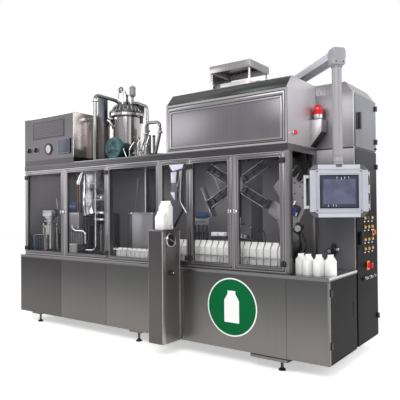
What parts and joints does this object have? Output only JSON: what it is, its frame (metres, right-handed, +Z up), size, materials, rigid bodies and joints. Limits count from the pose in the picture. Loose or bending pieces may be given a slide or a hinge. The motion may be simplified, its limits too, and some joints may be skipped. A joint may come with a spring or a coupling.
{
  "type": "carton filling machine",
  "caption": "Long stainless machine that fills and seals gable-top cartons: cabinet base, glazed guard doors, hood, roof tank and an operator panel on a swinging arm.",
  "frame": {"origin": "middle of the whole machine's footprint, on the floor", "axes": "+X from the filling end towards the outfeed end, +Y from the operator's side to the back, +Z up"},
  "size_m": [4.681, 1.679, 3.1703],
  "materials": {
    "base_steel": null,
    "frame_steel": "brushed stainless profile",
    "hood_steel": "satin stainless sheet",
    "polished_steel": "polished stainless",
    "guard_glass": "clear guard glazing",
    "black_plastic": "moulded black plastic",
    "red_plastic": "glossy red plastic",
    "teal_paint": "teal machine enamel",
    "blue_paint": "blue machine enamel",
    "arm_aluminium": "satin anodised",
    "carton_board": "coated white board, unprinted"
  },
  "bodies": {
    "machine": {"base_casing": "base_steel", "front_cover_1": "base_steel", "front_cover_2": "base_steel", "front_cover_3": "base_steel", "table_deck": "base_steel", "levelling_foot_1": "polished_steel", "levelling_foot_2": "polished_steel", "levelling_foot_3": "polished_steel", "levelling_foot_4": "polished_steel", "levelling_foot_5": "polished_steel", "levelling_foot_6": "polished_steel", "left_end_frame": "frame_steel", "rear_guard_panel": "base_steel", "right_end_frame": "frame_steel", "roof_deck": "frame_steel", "fixed_window_frame": "frame_steel", "fixed_window_pane": "guard_glass", "hood_shell": "hood_steel", "roof_vent_cap": "hood_steel", "warning_beacon": "red_plastic", "cabinet_shell": "hood_steel", "control_box": "hood_steel", "dosing_tank": "polished_steel", "tank_lid": "polished_steel", "product_pipe": "polished_steel", "blower": "teal_paint", "magazine_box": "hood_steel", "magazine_cartons": "carton_board", "carton_row": "carton_board", "outfeed_cartons": "carton_board", "filling_cylinder": "polished_steel", "conveyor_bed": "frame_steel", "mandrel_bearing": "frame_steel", "drive_gearmotor": "blue_paint"},
    "door_1": {"guard_door_1": "frame_steel", "guard_door_pane_1": "guard_glass"},
    "door_2": {"guard_door_2": "frame_steel", "guard_door_pane_2": "guard_glass"},
    "door_3": {"guard_door_3": "frame_steel", "guard_door_pane_3": "guard_glass"},
    "door_4": {"guard_door_4": "frame_steel", "guard_door_pane_4": "guard_glass"},
    "latch_1": {"door_latch_1": "black_plastic"},
    "latch_2": {"door_latch_2": "black_plastic"},
    "latch_3": {"door_latch_3": "black_plastic"},
    "latch_4": {"door_latch_4": "black_plastic"},
    "end_door": {"base_end_door": "base_steel"},
    "upper_door": {"cabinet_upper_door": "hood_steel"},
    "lower_door": {"cabinet_lower_door": "hood_steel"},
    "isolator": {"isolator_switch": "red_plastic"},
    "stop_button": {"emergency_stop": "red_plastic"},
    "side_button": {"hood_button": "red_plastic"},
    "knob_1": {"control_knob_1": "black_plastic"},
    "knob_2": {"control_knob_2": "black_plastic"},
    "clamp_knob": {"magazine_knob": "black_plastic"},
    "arm": {"pendant_arm": "arm_aluminium"},
    "panel": {"operator_panel": "arm_aluminium"},
    "piston": {"filling_piston": "polished_steel"},
    "wheel": {"mandrel_wheel": "polished_steel"},
    "spindle": {"drive_shaft": "polished_steel"}
  },
  "joints": [
    {"name": "door_1_hinge", "type": "hinge", "parent": "machine", "child": "door_1", "pos_m": [-2.33446, -0.5015, 1.477], "axis": [0, 0, 1], "range_deg": [-110, 0]},
    {"name": "door_2_hinge", "type": "hinge", "parent": "machine", "child": "door_2", "pos_m": [-0.68346, -0.5015, 1.477], "axis": [0, 0, 1], "range_deg": [0, 110]},
    {"name": "door_3_hinge", "type": "hinge", "parent": "machine", "child": "door_3", "pos_m": [0.53054, -0.5015, 1.477], "axis": [0, 0, 1], "range_deg": [-90, 0]},
    {"name": "door_4_hinge", "type": "hinge", "parent": "machine", "child": "door_4", "pos_m": [1.66954, -0.5015, 1.477], "axis": [0, 0, 1], "range_deg": [0, 110]},
    {"name": "latch_1_turn", "type": "hinge", "parent": "door_1", "child": "latch_1", "pos_m": [-1.53146, -0.4898, 1.485], "axis": [0, 1, 0], "range_deg": [0, 90]},
    {"name": "latch_2_turn", "type": "hinge", "parent": "door_2", "child": "latch_2", "pos_m": [-1.46546, -0.4898, 1.485], "axis": [0, 1, 0], "range_deg": [0, 90]},
    {"name": "latch_3_turn", "type": "hinge", "parent": "door_3", "child": "latch_3", "pos_m": [1.05954, -0.4898, 1.485], "axis": [0, 1, 0], "range_deg": [0, 90]},
    {"name": "latch_4_turn", "type": "hinge", "parent": "door_4", "child": "latch_4", "pos_m": [1.12554, -0.4898, 1.485], "axis": [0, 1, 0], "range_deg": [0, 90]},
    {"name": "end_door_hinge", "type": "hinge", "parent": "machine", "child": "end_door", "pos_m": [2.11254, -0.5315, 0.45], "axis": [0, 0, 1], "range_deg": [-110, 0]},
    {"name": "upper_door_hinge", "type": "hinge", "parent": "machine", "child": "upper_door", "pos_m": [2.11254, 0.8155, 2.38], "axis": [0, 0, 1], "range_deg": [0, 110]},
    {"name": "lower_door_hinge", "type": "hinge", "parent": "machine", "child": "lower_door", "pos_m": [2.11254, 0.8155, 1.1225], "axis": [0, 0, 1], "range_deg": [0, 110]},
    {"name": "isolator_turn", "type": "hinge", "parent": "lower_door", "child": "isolator", "pos_m": [2.10684, 0.5045, 0.915], "axis": [1, 0, 0], "range_deg": [0, 90]},
    {"name": "stop_push", "type": "slide", "parent": "lower_door", "child": "stop_button", "axis": [-1, 0, 0], "range_m": [0, 0.0045], "stiffness_N_per_m": 600},
    {"name": "side_push", "type": "slide", "parent": "machine", "child": "side_button", "axis": [-1, 0, 0], "range_m": [0, 0.0045], "stiffness_N_per_m": 600},
    {"name": "knob_1_turn", "type": "hinge", "parent": "machine", "child": "knob_1", "pos_m": [-2.23046, -0.4898, 2.33], "axis": [0, 1, 0], "range_deg": [-45, 45]},
    {"name": "knob_2_turn", "type": "hinge", "parent": "machine", "child": "knob_2", "pos_m": [-2.08046, -0.4898, 2.33], "axis": [0, 1, 0], "range_deg": [-45, 45]},
    {"name": "clamp_knob_turn", "type": "hinge", "parent": "machine", "child": "clamp_knob", "pos_m": [0.47084, -0.7155, 0.858], "axis": [1, 0, 0], "continuous": true},
    {"name": "arm_swing", "type": "hinge", "parent": "machine", "child": "arm", "pos_m": [1.42954, 0.3095, 2.86], "axis": [0, 0, 1], "range_deg": [-8, 45]},
    {"name": "panel_swivel", "type": "hinge", "parent": "arm", "child": "panel", "pos_m": [2.10354, -0.3055, 1.9], "axis": [0, 0, 1], "range_deg": [-75, 20]},
    {"name": "piston_stroke", "type": "slide", "parent": "machine", "child": "piston", "axis": [0, 0, 1], "range_m": [0, 0.1]},
    {"name": "mandrel_wheel_spin", "type": "hinge", "parent": "machine", "child": "wheel", "pos_m": [0.85354, -0.0055, 1.77], "axis": [0, 1, 0], "continuous": true},
    {"name": "drive_shaft_spin", "type": "hinge", "parent": "machine", "child": "spindle", "pos_m": [0.85354, 0.2345, 0.3997], "axis": [0, 0, 1], "continuous": true}
  ],
  "couplings": [
    {"joint": "drive_shaft_spin", "follows": "mandrel_wheel_spin", "ratio": 6}
  ]
}
